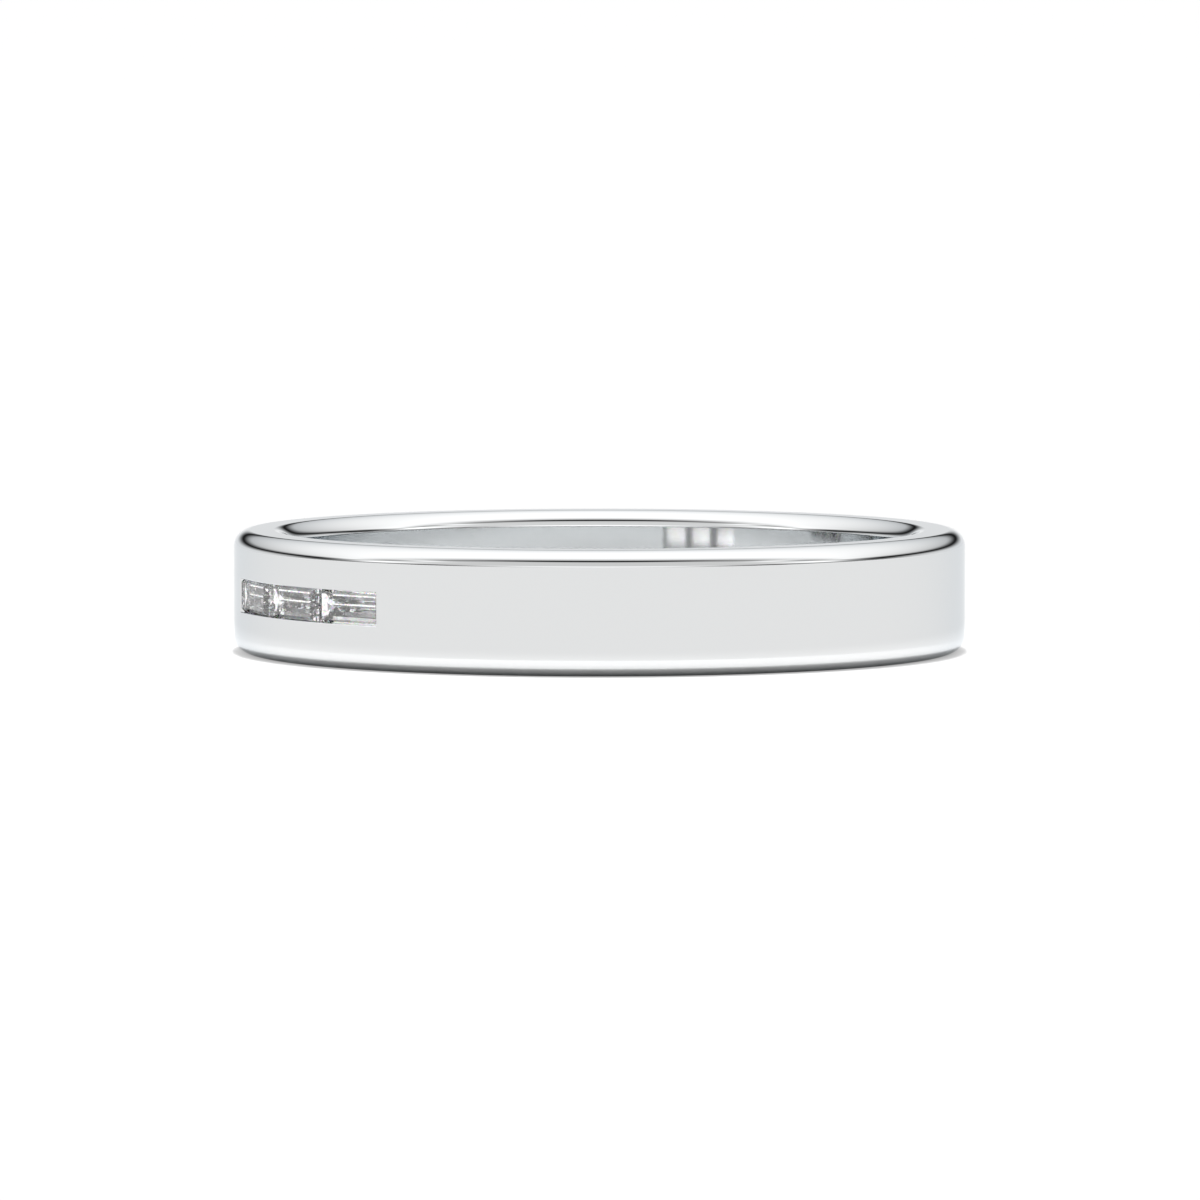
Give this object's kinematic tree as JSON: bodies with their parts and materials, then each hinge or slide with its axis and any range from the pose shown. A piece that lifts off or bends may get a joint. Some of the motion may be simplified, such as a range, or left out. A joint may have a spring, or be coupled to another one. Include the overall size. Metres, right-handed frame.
{
  "type": "channel-set baguette band",
  "caption": "Flat polished finger band with a short channel of step-cut baguette stones flush in its outer wall and open windows behind them, lying on its side.",
  "frame": {"origin": "centre of the finger hole, in the plane of the edge that the band lies on", "axes": "+Z along the finger hole, upwards; the middle stone of the channel faces -Y; +X is to the right of someone who looks at the stones"},
  "size_m": [0.021, 0.021, 0.0035],
  "materials": {
    "white_gold": "rhodium-plated white gold, mirror polished outside, fine satin polish inside",
    "diamond": "colourless step-cut diamond, polished facets"
  },
  "bodies": {
    "root": {"band": "white_gold", "baguette_left": "diamond", "baguette_middle": "diamond", "baguette_right": "diamond"}
  },
  "joints": []
}
